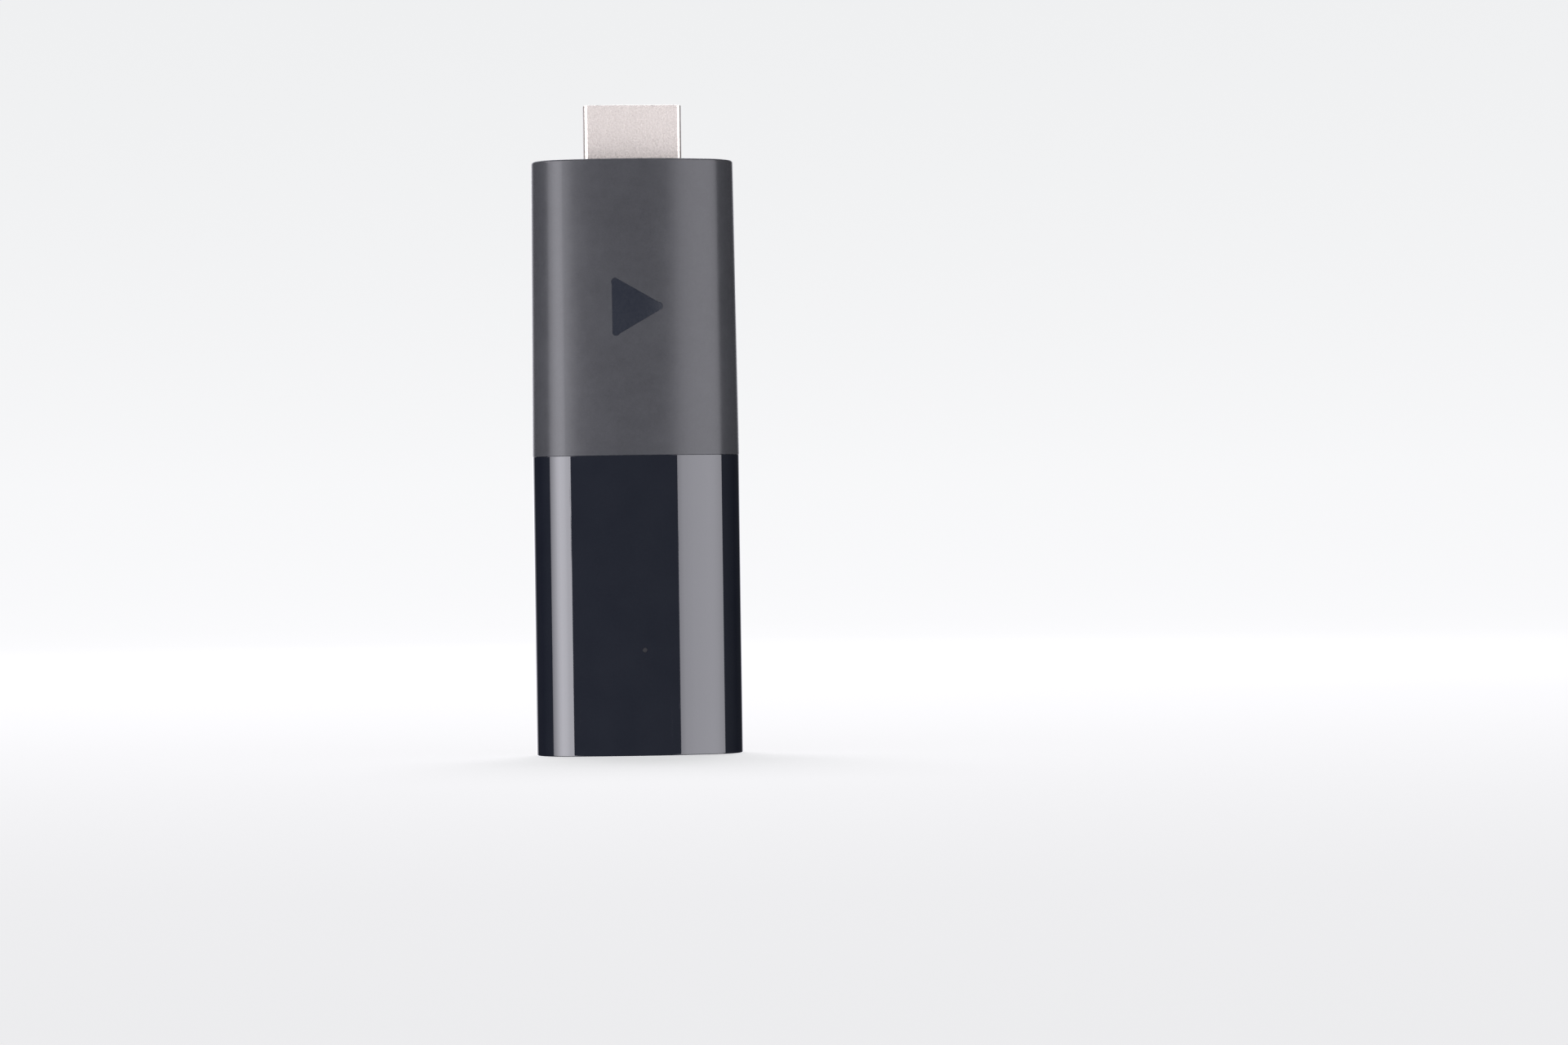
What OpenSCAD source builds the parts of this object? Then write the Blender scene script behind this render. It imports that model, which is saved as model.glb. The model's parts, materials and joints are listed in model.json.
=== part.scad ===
// Streaming media player stick: two casing sleeves that meet at a line round the middle,
// an HDMI plug on the upper end, a micro-USB power port in the lower end, and one board inside.
// The stick stands upright on its lower end. +Z points along the HDMI plug and -Y is the front.
// The origin is the centre of the lower end face.

/* [Casing] */
// Width across the two rounded sides
body_w = 29.5; // [28.5:0.1:32]
// Thickness from front to back, at the middle
body_t = 15.2; // [15:0.1:17]
// Length of the casing without the plug
body_len = 84.7; // [84:0.1:95]
// Radius of the two side curves
side_r = 6.3; // [5.8:0.1:6.6]
// Wall thickness
wall = 1.5; // [1.3:0.1:1.6]
// Place of the line between the sleeves, as a share of the length
line_share = 0.503; // [0.49:0.001:0.52]
// How much narrower the matte sleeve is at the plug end than at the line
plug_end_narrowing = 0.7; // [0.2:0.1:0.8]
// Bevel of the edge at the plug end
plug_end_bevel = 0.3; // [0.2:0.05:0.4]
// Bevel of the edge at the lower end
lower_end_bevel = 0.15; // [0.1:0.05:0.3]

/* [Emblem] */
// Size of the play triangle, from its flat side to its point
emblem_w = 7.3; // [5:0.1:8]
// Height of its centre, as a share of the length
emblem_share = 0.7515; // [0.7:0.0005:0.78]

/* [Status light] */
// Diameter of the light spot
light_d = 0.7; // [0.5:0.1:1]
// Height of the light spot above the lower end
light_z = 15; // [13:0.5:17]

/* [HDMI plug] */
// Width of the plug, as the standard gives it
hdmi_w = 13.9; // [13.8:0.05:14]
// Thickness of the plug, as the standard gives it
hdmi_t = 4.45; // [4.4:0.05:4.5]
// How far the plug stands out of the casing
hdmi_reach = 7.9; // [7.5:0.1:9]

/* [Power port] */
// Width of the port's metal sleeve
port_w = 7.5; // [7.4:0.1:7.6]
// Thickness of the port's metal sleeve
port_t = 2.6; // [2.5:0.1:2.7]

/* [Board] */
// Width of the board
board_w = 23.6; // [22.5:0.1:23.6]
// Thickness of the board
board_t = 1; // [0.8:0.1:1]

/* [Hidden] */

// Casing section: two broad crowns that meet two tight side curves at about one degree.
half_w = body_w / 2;
half_t = body_t / 2;
side_x = half_w - side_r;
tangent_r = (pow(side_x, 2) + pow(half_t, 2) - pow(side_r, 2)) / (2 * (half_t - side_r));
crown_r = floor(100 * tangent_r) / 100 - 0.02;
crown_y = crown_r - half_t;
crown_fn = 180;
side_fn = 72;

line_z = body_len * line_share;
draft = plug_end_narrowing / 2;
upper_wall = wall + draft;
// how far a cut runs beyond what it cuts
past = 1;
// how deep two joined blocks overlap
join = 0.01;
// how far a rounded corner stands past the straight sides that it meets
crossing = 0.001;
// gap round a part that sits inside a metal sleeve
fit_gap = 0.02;

// Snap joint between the sleeves: a collar on the lower sleeve, with beads that click into pockets.
collar_gap = 0.08;
collar_t = 0.8;
collar_h = 3;
collar_inset = upper_wall + collar_gap;
bead_w = 5;
bead_h = 1;
bead_out = 0.35;
bead_x = 5.5;
bead_z = line_z + 1.4;
pocket_gap = 0.1;

// Rails that hold the board's long edges.
half_board = board_t / 2;
board_bottom = 2.2;
board_top = body_len - 8;
board_len = board_top - board_bottom;
rail_t = 0.9;
rail_gap = 0.1;
rail_bite = 0.9;
rail_x = board_w / 2 - rail_bite;
rail_root = 0.3;
upper_rail_z = [line_z + collar_h + 1, board_top - 4];
board_chamfer = 3;

// HDMI plug: full width towards the front, sloping in towards the back.
hdmi_tip = body_len + hdmi_reach;
hdmi_back = body_len - 6.5;
hdmi_sheet = 0.3;
hdmi_corner = 0.6;
hdmi_slope = 1.9;
hdmi_gap = 0.12;
hdmi_slot_w = 11.9;
hdmi_slot_t = 2.1;
hdmi_slot_deep = 7.2;
contact_w = 0.42;
contact_t = 0.22;
contact_pitch = 1;
contact_shy = 1.1;
contact_spring = 0.12;
tail_len = 2.2;
tail_bend = 0.25;
front_contacts = 10;
back_contacts = 9;
front_leg = [5.8, 1];
back_leg = [4.75, 0.5];
insulator_shy = [0.2, 0.6];
seam_w = 0.08;
seam_deep = 0.12;
boss_wall = 1.5;
boss_deep = 2.5;

// Power port: a low sleeve set into a notch of the board.
port_front = 0.3;
port_deep = 5.4;
port_sheet = 0.3;
port_corner = 0.7;
port_gap = 0.3;
port_wing_w = 1.4;
port_wing_l = 1.6;
port_wing_z = port_front + 0.6 * port_deep;
tongue_w = 3.7;
tongue_t = 0.65;
tongue_y = 0.3;
tongue_shy = 0.8;
port_back_t = 1.2;
port_contact_w = 0.35;
port_contact_t = 0.16;
port_contact_pitch = 0.65;
port_contact_shy = 1.1;
notch_gap = 0.2;
notch_top = port_front + port_deep + 1;

// What stands on the board: heights are measured from its face, and places along it from the lower end.
shield_h = 1.5;
shield_sheet = 0.15;
shield_fence_t = 0.2;
shield_rim_w = 1;
lid_skirt = 0.9;
lid_gap = 0.03;
lid_tab_pitch = 4;
lid_slit_w = 0.5;
shield_w = 18;
front_shield_z = [35, 66];
back_shield_z = [38, 65];
pad_t = 0.5;
pad_z = 52;
spreader_t = 0.8;
spreader_w = 17.6;
spreader_z = [31, 71];
spreader_face = half_board + shield_h + shield_sheet + pad_t;
spreader_notch = [2.4, 6];
foam_z = [52, 68];
foam_gap = 0.12;
chip_h = 1;
chip_corner = 0.3;
processor_z = 55;
processor_w = 14;
memory_x = 4.3;
memory_z = 41.2;
flash_z = 56;
power_chip_x = 4;
power_chip_z = 43.5;
radio_x = -2.5;
radio_z = 25.5;
radio_board_w = 12;
radio_board_t = 0.6;
radio_cover_w = 11.2;
radio_cover_h = 1.3;
radio_sheet = 0.15;
aerial_x = -9.2;
aerial_w = 2.4;
aerial_sheet = 0.25;
aerial_rise = 2.2;
aerial_feet_z = [7, 10];
aerial_far_foot_z = 18.1;
inductor_w = 4;
inductor_z = 27;
inductor_pitch = 5;

light_x = 0.4;
light_play = 0.04;
light_shy = 0.03;
emblem_z = body_len * emblem_share;
emblem_deep = 0.45;
emblem_corner = 0.6;

front = -1;
back = 1;

// ---- helpers ----

function tangent_x(inset) = side_x * (1 + (side_r - inset) / (crown_r - side_r));

// The casing's section, drawn in from its outside by inset.
module section(inset = 0) {
    intersection() {
        translate([0, crown_y]) circle(r = crown_r - inset, $fn = crown_fn);
        translate([0, -crown_y]) circle(r = crown_r - inset, $fn = crown_fn);
        square([2 * tangent_x(inset), 2 * body_t], center = true);
    }
    for (side = [-1, 1]) translate([side * side_x, 0]) circle(r = side_r - inset, $fn = side_fn);
}

module prism(z0, z1, inset) {
    translate([0, 0, z0]) linear_extrude(height = z1 - z0) section(inset);
}

// A round solid along +Z whose radius falls by taper towards its far end, which has a bevelled edge.
module turned(r, len, taper, bevel, fn) {
    cylinder(h = len - bevel, r1 = r, r2 = r - taper, $fn = fn);
    translate([0, 0, len - bevel]) cylinder(h = bevel, r1 = r - taper, r2 = r - taper - bevel, $fn = fn);
}

// The casing's outside along +Z: section(0) at its foot, drawn in by taper at its bevelled far end.
module outside(len, taper, bevel) {
    lean = atan((tangent_x(0) - tangent_x(taper)) / (len - bevel));
    intersection() {
        translate([0, crown_y, 0]) turned(crown_r, len, taper, bevel, crown_fn);
        translate([0, -crown_y, 0]) turned(crown_r, len, taper, bevel, crown_fn);
        in_both_halves() translate([tangent_x(0), 0, 0]) rotate([0, -lean, 0])
            translate([-body_w, -body_t, -past]) cube([body_w, 2 * body_t, len + 2 * past]);
    }
    for (side = [-1, 1]) {
        translate([side * side_x, 0, 0]) turned(side_r, len, taper, bevel, side_fn);
    }
}

// What lies in both a shape and its mirror image across X = 0.
module in_both_halves() {
    intersection() {
        children();
        mirror([1, 0, 0]) children();
    }
}

module upper_outside() {
    translate([0, 0, line_z]) outside(body_len - line_z, draft, plug_end_bevel);
}

module lower_outside() {
    translate([0, 0, line_z]) mirror([0, 0, 1]) outside(line_z, 0, lower_end_bevel);
}

// A flat shape drawn in X and Z, given thickness along Y from y0 to y1.
module plate(y0, y1) {
    translate([0, y1, 0]) rotate([90, 0, 0]) linear_extrude(height = y1 - y0) children();
}

// A block on one face of the board: centre x, z, size across, along and up, and its foot height.
module block(face, x, z, w, l, h, foot = 0) {
    y = face * (half_board + foot + h / 2);
    translate([x, y, z]) cube([w, h, l], center = true);
}

// A flat plate with rounded corners on one face of the board.
module round_plate(face, x, z, w, l, h, r, foot = 0) {
    y = half_board + foot;
    y0 = face == front ? -y - h : y;
    translate([x, 0, z]) plate(y0, y0 + h) round_rect(w, l, r);
}

module round_rect(w, l, r) {
    square([w, l - 2 * r], center = true);
    square([w - 2 * r, l], center = true);
    for (sx = [-1, 1]) {
        for (sy = [-1, 1]) {
            translate([sx * (w / 2 - r), sy * (l / 2 - r)]) circle(r = r, $fn = 24);
        }
    }
}

// The plug's outline, drawn in from its outside by inset. The wide side is towards -Y.
module plug_outline(inset) {
    w = hdmi_w / 2 - inset;
    t = hdmi_t / 2 - inset;
    turn = inset * tan(22.5);
    slope = hdmi_slope - inset + turn;
    r = max(hdmi_corner - inset, 0.1);
    translate([0, -t + r / 2]) square([2 * (w - r), r], center = true);
    polygon([[-w, -t + r], [w, -t + r], [w, t - slope], [w - slope, t], [slope - w, t], [-w, t - slope]]);
    for (side = [-1, 1]) translate([side * (w - r), -t + r]) circle(r = r, $fn = 24);
}

module snap_blocks(gap) {
    for (x = [-bead_x, bead_x]) {
        translate([x, 0, bead_z]) cube([bead_w + 2 * gap, body_t, bead_h + 2 * gap], center = true);
    }
}

// Ribs above and below the board's edges, joined to the side walls.
module rails(z0, z1, root_inset) {
    intersection() {
        prism(z0, z1, root_inset);
        for (side = [-1, 1]) {
            for (face = [front, back]) {
                y = face * (half_board + rail_gap + rail_t / 2);
                translate([side * (rail_x + half_w / 2), y, (z0 + z1) / 2])
                    cube([half_w, rail_t, z1 - z0], center = true);
            }
        }
    }
}

// An equilateral play triangle that points to +X, with rounded corners.
module triangle_outline() {
    r = emblem_corner;
    reach = emblem_w - 2 * r;
    rise = reach / sqrt(3);
    corners = [[-reach / 2, rise], [-reach / 2, -rise], [reach / 2, 0]];
    polygon([
        for (k = [0 : 2])
            for (turn = [60, 180])
                corners[k] + r * [cos(120 * k + turn), sin(120 * k + turn)]
    ]);
    for (corner = corners) translate(corner) circle(r = r + crossing, $fn = 32);
}

// ---- casing ----

module upper_shell() {
    top_inside = body_len - wall;
    color("dimgray") difference() {
        union() {
            difference() {
                upper_outside();
                prism(line_z - past, top_inside, upper_wall);
            }
            rails(upper_rail_z[0], upper_rail_z[1], upper_wall - rail_root);
            translate([0, 0, top_inside - boss_deep])
                linear_extrude(height = boss_deep + wall / 2) plug_outline(-boss_wall - hdmi_gap);
        }
        translate([0, 0, line_z]) linear_extrude(height = body_len) plug_outline(-hdmi_gap);
        intersection() {
            prism(line_z, line_z + collar_h, collar_inset - bead_out - pocket_gap);
            snap_blocks(pocket_gap);
        }
        translate([0, 0, emblem_z]) plate(-body_t, -half_t + draft + emblem_deep) triangle_outline();
    }
}

module lower_shell() {
    ledge_z = line_z - 2 * wall;
    color([0.08, 0.085, 0.1]) difference() {
        union() {
            lower_outside();
            prism(line_z - wall, line_z + collar_h, collar_inset);
            intersection() {
                prism(line_z, line_z + collar_h, collar_inset - bead_out);
                snap_blocks(0);
            }
        }
        difference() {
            prism(wall, ledge_z, wall);
            rails(wall, ledge_z, wall - rail_root);
        }
        prism(ledge_z - join, line_z + collar_h + past, collar_inset + collar_t);
        translate([0, 0, -past]) linear_extrude(height = wall + 2 * past) port_hole_outline();
        translate([light_x, 0, light_z]) rotate([90, 0, 0]) cylinder(h = body_t, d = light_d, $fn = 48);
    }
}

module port_hole_outline() {
    w = port_w + 2 * port_gap;
    t = port_t + 2 * port_gap;
    round_rect(w, t, port_corner + port_gap);
}

module emblem_inlay() {
    color([0.05, 0.055, 0.075]) intersection() {
        upper_outside();
        translate([0, 0, emblem_z]) plate(-body_t, -half_t + draft + emblem_deep) triangle_outline();
    }
}

// A clear pin from the light on the board to the front face, with a flange behind the wall.
module light_pipe() {
    face_y = half_t - light_shy;
    inner_y = half_t - wall - 0.12;
    foot_y = half_board + 0.75;
    stem_d = 2.2;
    flange_d = 3.6;
    flange_t = 0.5;
    color("ghostwhite") translate([light_x, 0, light_z]) rotate([90, 0, 0]) {
        translate([0, 0, foot_y]) cylinder(h = face_y - foot_y, d = light_d - light_play, $fn = 48);
        translate([0, 0, foot_y]) cylinder(h = inner_y - foot_y, d = stem_d, $fn = 48);
        translate([0, 0, inner_y - flange_t]) cylinder(h = flange_t, d = flange_d, $fn = 48);
    }
}

// ---- HDMI plug ----

module hdmi_plug_shell() {
    color("silver") {
        difference() {
            translate([0, 0, hdmi_back]) linear_extrude(height = hdmi_tip - hdmi_back) plug_outline(0);
            translate([0, 0, hdmi_back - past])
                linear_extrude(height = hdmi_tip + past) plug_outline(hdmi_sheet);
            // butt seam of the rolled sheet, along the back
            translate([0, hdmi_t / 2, hdmi_tip - past])
                cube([seam_w, 2 * seam_deep, body_len], center = true);
        }
        for (side = [-1, 1]) {
            for (face = [front, back]) {
                plug_leg(side, face);
            }
        }
    }
}

// A leg of the plug's sleeve that is soldered flat to the board.
module plug_leg(side, face) {
    leg = face == front ? front_leg : back_leg;
    leg_w = leg[1];
    top = hdmi_back + 0.6;
    x = side * leg[0];
    rise = hdmi_t / 2 - half_board;
    foot_z = board_top - tail_len;
    translate([x, face * (half_board + hdmi_sheet / 2), (foot_z + hdmi_back) / 2])
        cube([leg_w, hdmi_sheet, hdmi_back - foot_z], center = true);
    translate([x, face * (half_board + rise / 2), hdmi_back - hdmi_sheet / 2])
        cube([leg_w, rise, hdmi_sheet], center = true);
    translate([x, face * (hdmi_t / 2 - hdmi_sheet / 2), (top + hdmi_back - hdmi_sheet) / 2])
        cube([leg_w, hdmi_sheet, top - hdmi_back + hdmi_sheet], center = true);
}

module hdmi_insulator() {
    back_z = hdmi_back + insulator_shy[0];
    tip_z = hdmi_tip - insulator_shy[1];
    floor_z = hdmi_tip - hdmi_slot_deep;
    color([0.06, 0.06, 0.07]) difference() {
        translate([0, 0, back_z])
            linear_extrude(height = tip_z - back_z) plug_outline(hdmi_sheet + fit_gap);
        translate([0, 0, floor_z + body_len / 2]) cube([hdmi_slot_w, hdmi_slot_t, body_len], center = true);
        contact_row(front, front_contacts, 0.03);
        contact_row(back, back_contacts, 0.03);
    }
}

// One row of spring contacts along the slot's wall, each with a tail for the board's face.
module contact_row(face, count, gap = 0) {
    slot_y = hdmi_slot_t / 2;
    foot_z = board_top - tail_len;
    top_z = hdmi_tip - contact_shy;
    bend_z = board_top + tail_bend;
    blade_y = slot_y + contact_t / 2 - contact_spring;
    tail_y = half_board + contact_t / 2;
    w = contact_w + 2 * gap;
    t = contact_t + 2 * gap;
    for (i = [0 : count - 1]) {
        x = (i - (count - 1) / 2) * contact_pitch;
        translate([x, face * blade_y, (top_z + bend_z) / 2]) cube([w, t, top_z - bend_z], center = true);
        translate([x, face * tail_y, (foot_z + bend_z) / 2]) cube([w, t, bend_z - foot_z], center = true);
        translate([x, face * (blade_y + tail_y) / 2, bend_z])
            cube([w, blade_y - tail_y + t, t], center = true);
    }
}

module hdmi_front_contacts() {
    color("gold") contact_row(front, front_contacts);
}

module hdmi_back_contacts() {
    color("gold") contact_row(back, back_contacts);
}

// ---- power port ----

module port_outline(inset) {
    w = port_w / 2 - inset;
    t = port_t / 2 - inset;
    slope = port_corner;
    polygon([[-w, t], [w, t], [w, -t + slope], [w - slope, -t], [slope - w, -t], [-w, -t + slope]]);
}

module usb_port_shell() {
    color("silver") {
        difference() {
            translate([0, 0, port_front]) linear_extrude(height = port_deep) port_outline(0);
            translate([0, 0, port_front - past])
                linear_extrude(height = port_deep + 2 * past) port_outline(port_sheet);
        }
        for (side = [-1, 1]) {
            wing_x = side * (port_w / 2 + port_wing_w / 2 - join);
            translate([wing_x, half_board + port_sheet / 2, port_wing_z])
                cube([port_wing_w, port_sheet, port_wing_l], center = true);
        }
    }
}

module usb_tongue() {
    back_z = port_front + port_deep - port_back_t;
    tip_z = port_front + tongue_shy;
    color([0.07, 0.07, 0.08]) difference() {
        union() {
            translate([0, 0, back_z])
                linear_extrude(height = port_back_t - 0.1) port_outline(port_sheet + fit_gap);
            translate([0, tongue_y, (tip_z + back_z) / 2])
                cube([tongue_w, tongue_t, back_z - tip_z + join], center = true);
        }
        usb_contact_bars(fit_gap);
    }
}

// Five contacts along the tongue, which step down behind it to the board's front face.
module usb_contact_bars(gap = 0) {
    bar_w = port_contact_w + 2 * gap;
    bar_t = port_contact_t + 2 * gap;
    tip_z = port_front + port_contact_shy;
    bend_z = port_front + port_deep + 0.3;
    foot_z = notch_top + 1.2;
    blade_y = tongue_y - tongue_t / 2 + port_contact_t / 4;
    foot_y = -half_board - port_contact_t / 2;
    for (i = [-2 : 2]) {
        x = i * port_contact_pitch;
        translate([x, blade_y, (tip_z + bend_z) / 2]) cube([bar_w, bar_t, bend_z - tip_z], center = true);
        translate([x, (blade_y + foot_y) / 2, bend_z])
            cube([bar_w, blade_y - foot_y + bar_t, bar_t], center = true);
        translate([x, foot_y, (bend_z + foot_z) / 2]) cube([bar_w, bar_t, foot_z - bend_z], center = true);
    }
}

module usb_contacts() {
    color("gold") usb_contact_bars();
}

// ---- board and what stands on it ----

module main_board() {
    notch_w = port_w + 2 * notch_gap;
    notch_l = notch_top - board_bottom;
    color([0.04, 0.22, 0.14]) difference() {
        translate([0, 0, board_bottom + board_len / 2]) cube([board_w, board_t, board_len], center = true);
        translate([0, 0, board_bottom + notch_l / 2 - past / 2])
            cube([notch_w, 2 * board_t, notch_l + past], center = true);
        for (side = [-1, 1]) {
            translate([side * board_w / 2, 0, board_top]) rotate([0, 45, 0])
                cube([board_chamfer, 2 * board_t, board_chamfer], center = true);
        }
    }
}

module processor() {
    color([0.1, 0.1, 0.11])
        round_plate(front, 0, processor_z, processor_w, processor_w, chip_h, chip_corner);
}

module memory_chips() {
    color([0.11, 0.11, 0.12]) {
        for (x = [-memory_x, memory_x]) round_plate(front, x, memory_z, 7.5, 10.6, chip_h, chip_corner);
    }
}

module flash_chip() {
    color([0.1, 0.1, 0.11]) round_plate(back, 0, flash_z, 11.5, 13, chip_h, chip_corner);
}

module power_chips() {
    color([0.11, 0.11, 0.12]) {
        round_plate(back, -power_chip_x, power_chip_z, 5, 5, 0.85, chip_corner / 2);
        round_plate(back, power_chip_x, power_chip_z, 4, 4, 0.85, chip_corner / 2);
    }
}

module radio_board() {
    color([0.03, 0.16, 0.12]) block(front, radio_x, radio_z, radio_board_w, radio_board_w, radio_board_t);
}

module radio_cover() {
    inside_w = radio_cover_w - 2 * radio_sheet;
    inside_h = radio_cover_h - radio_sheet;
    color("lightgray") difference() {
        block(front, radio_x, radio_z, radio_cover_w, radio_cover_w, radio_cover_h, radio_board_t);
        block(front, radio_x, radio_z, inside_w, inside_w, inside_h + past, radio_board_t - past);
    }
}

// Stamped aerial on three feet, at the lower corner away from the shields.
module antenna() {
    foot_x = (aerial_w - aerial_sheet) / 2;
    foot_l = 1.2;
    color("wheat") translate([aerial_x, 0, 0]) {
        block(front, 0, 12.2, aerial_w, 13, aerial_sheet, aerial_rise);
        for (z = aerial_feet_z) block(front, foot_x, z, aerial_sheet, foot_l, aerial_rise);
        block(front, -foot_x, aerial_far_foot_z, aerial_sheet, foot_l, aerial_rise);
    }
}

module status_led() {
    base_t = 0.3;
    color("ivory") {
        block(front, light_x, light_z, 1.6, 0.8, base_t);
        block(front, light_x, light_z, 1.1, 0.8, 0.35, base_t);
    }
}

// A fence soldered round the chips, with a narrow rim along its top.
module shield_frame(face, ends) {
    mid = (ends[0] + ends[1]) / 2;
    l = ends[1] - ends[0];
    t = shield_fence_t;
    h = shield_h - lid_gap;
    rim = t + 2 * shield_rim_w;
    difference() {
        block(face, 0, mid, shield_w, l, h);
        block(face, 0, mid, shield_w - 2 * t, l - 2 * t, h + 2 * past, -past);
    }
    difference() {
        block(face, 0, mid, shield_w - t, l - t, t, h - t);
        block(face, 0, mid, shield_w - t - rim, l - t - rim, t + 2 * past, h - t - past);
    }
}

// A lid that clips over the fence, with spring tabs along its skirt.
module shield_lid(face, ends) {
    mid = (ends[0] + ends[1]) / 2;
    l = ends[1] - ends[0];
    w = shield_w + 2 * lid_gap;
    lid_l = l + 2 * lid_gap;
    lid_h = lid_skirt + shield_sheet;
    tabs = floor(l / lid_tab_pitch) - 1;
    skirt_foot = shield_h - lid_skirt;
    difference() {
        block(face, 0, mid, w + 2 * shield_sheet, lid_l + 2 * shield_sheet, lid_h, skirt_foot);
        block(face, 0, mid, w, lid_l, lid_skirt + past, skirt_foot - past);
        for (side = [-1, 1]) {
            for (i = [0 : tabs]) {
                z = mid + (i - tabs / 2) * lid_tab_pitch;
                block(face, side * w / 2, z, 1, lid_slit_w, lid_skirt - 0.1 + past, skirt_foot - past);
            }
        }
    }
}

module front_shield_frame() {
    color("silver") shield_frame(front, front_shield_z);
}

module front_shield_lid() {
    color("gainsboro") shield_lid(front, front_shield_z);
}

module back_shield_frame() {
    color("silver") shield_frame(back, back_shield_z);
}

module back_shield_lid() {
    color("gainsboro") shield_lid(back, back_shield_z);
}

module processor_pad() {
    color("lightsteelblue") block(front, 0, processor_z, 13, 13, shield_h - chip_h, chip_h);
}

module front_thermal_pad() {
    color("lightsteelblue") block(front, 0, pad_z, 15, 24, pad_t, shield_h + shield_sheet);
}

module back_thermal_pad() {
    color("lightsteelblue") block(back, 0, pad_z, 15, 22, pad_t, shield_h + shield_sheet);
}

// Aluminium plate with corner rounds and a notch halfway down each side.
module heat_spreader(face) {
    mid = (spreader_z[0] + spreader_z[1]) / 2;
    foot = spreader_face - half_board;
    notch_w = spreader_notch[0];
    notch_l = spreader_notch[1];
    difference() {
        round_plate(face, 0, mid, spreader_w, spreader_z[1] - spreader_z[0], spreader_t, 2, foot);
        for (side = [-1, 1]) {
            block(face, side * spreader_w / 2, mid, notch_w, notch_l, spreader_t + 2 * past, foot - past);
        }
    }
}

module front_heat_spreader() {
    color("darkgray") heat_spreader(front);
}

module back_heat_spreader() {
    color("darkgray") heat_spreader(back);
}

module foam_pads() {
    foot = spreader_face + spreader_t - half_board;
    foam_t = half_t - upper_wall - spreader_face - spreader_t - foam_gap;
    color([0.2, 0.2, 0.21]) {
        for (face = [front, back]) {
            for (z = foam_z) block(face, 0, z, 5, 4, foam_t, foot);
        }
    }
}

module power_inductors() {
    color([0.2, 0.2, 0.22]) {
        for (i = [-1 : 1]) {
            round_plate(back, i * inductor_pitch, inductor_z, inductor_w, inductor_w, 1.8, 0.8);
        }
    }
}

module ferrite_beads() {
    color([0.25, 0.24, 0.23]) {
        for (x = [-2, 2]) block(back, x, 10.5, 1.6, 3.2, 1.1);
    }
}

// A row of small parts along the board: pitch apart, each of one size.
module chip_row(face, x, z, count, pitch, size) {
    for (i = [0 : count - 1]) block(face, x, z + i * pitch, size[0], size[1], size[2]);
}

module capacitors() {
    color([0.62, 0.5, 0.36]) {
        for (x = [-7.5, 7.5]) chip_row(back, x, 13, 4, 3, [1.2, 2, 1.1]);
        for (x = [-6, -3, 3, 6]) chip_row(back, x, 31.5, 2, 2.6, [1.6, 0.8, 0.8]);
        for (x = [-8.2, 8.2]) chip_row(front, x, 49, 7, 2, [0.6, 1, 0.5]);
    }
}

module resistors() {
    color([0.12, 0.12, 0.13]) {
        chip_row(front, 7.5, 19, 6, 1.6, [1, 0.5, 0.35]);
        chip_row(back, 0, 15, 5, 1.6, [1, 0.5, 0.35]);
    }
}

module crystals() {
    color("silver") {
        round_plate(front, 7, 31.5, 3.2, 2.5, 0.7, 0.3);
        round_plate(front, 6.5, 11, 2.5, 2, 0.6, 0.3);
    }
}

module surge_arrays() {
    color([0.1, 0.1, 0.11]) {
        for (x = [-4.5, -1.5, 1.5, 4.5]) block(front, x, 71, 1, 2.5, 0.5);
    }
}

upper_shell();
lower_shell();
emblem_inlay();
light_pipe();
hdmi_plug_shell();
hdmi_insulator();
hdmi_front_contacts();
hdmi_back_contacts();
usb_port_shell();
usb_tongue();
usb_contacts();
main_board();
processor();
memory_chips();
flash_chip();
power_chips();
radio_board();
radio_cover();
antenna();
status_led();
front_shield_frame();
front_shield_lid();
back_shield_frame();
back_shield_lid();
processor_pad();
front_thermal_pad();
back_thermal_pad();
front_heat_spreader();
back_heat_spreader();
foam_pads();
power_inductors();
ferrite_beads();
capacitors();
resistors();
crystals();
surge_arrays();
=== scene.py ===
"""Looks for the streaming media player stick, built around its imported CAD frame, in metres."""

import json
import math

import bmesh
import bpy
from mathutils import Matrix, Vector

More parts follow.
